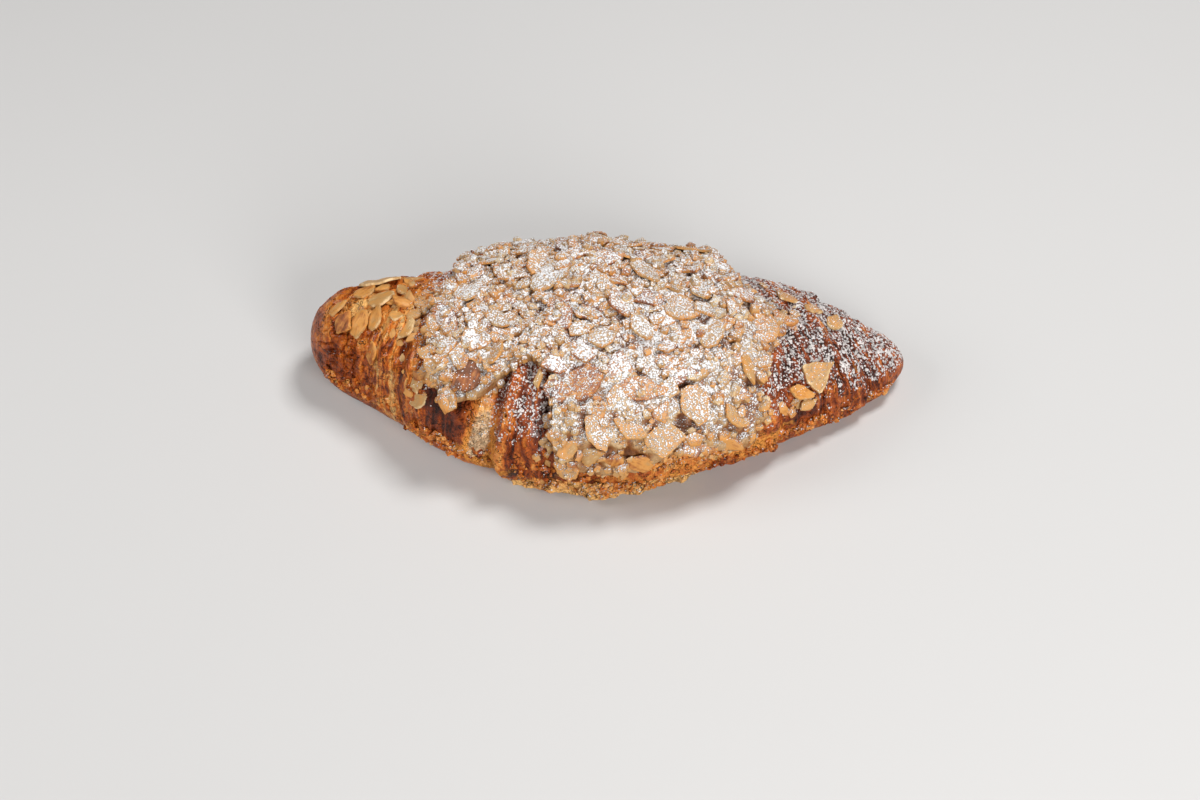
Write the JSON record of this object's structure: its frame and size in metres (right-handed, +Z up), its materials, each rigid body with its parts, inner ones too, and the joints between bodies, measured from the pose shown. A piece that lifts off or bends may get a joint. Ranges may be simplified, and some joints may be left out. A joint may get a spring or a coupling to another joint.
{
  "type": "almond croissant",
  "caption": "Baked almond croissant lying on its flat underside: a rolled, wrapped pastry with a cap of almond cream and flaked almonds.",
  "frame": {"origin": "centre of the footprint, on the surface the croissant rests on", "axes": "+X from the blunt left tip to the pointed right tip, +Z up, -Y towards the front with the pressed-out foot"},
  "size_m": [0.2034, 0.1049, 0.0504],
  "materials": {
    "crust": "baked, flaky and slightly glossy",
    "baked_almond": "dry baked almond cream and flaked almonds under icing sugar"
  },
  "bodies": {
    "root": {"pastry": "crust", "almond_topping": "baked_almond"}
  },
  "joints": []
}
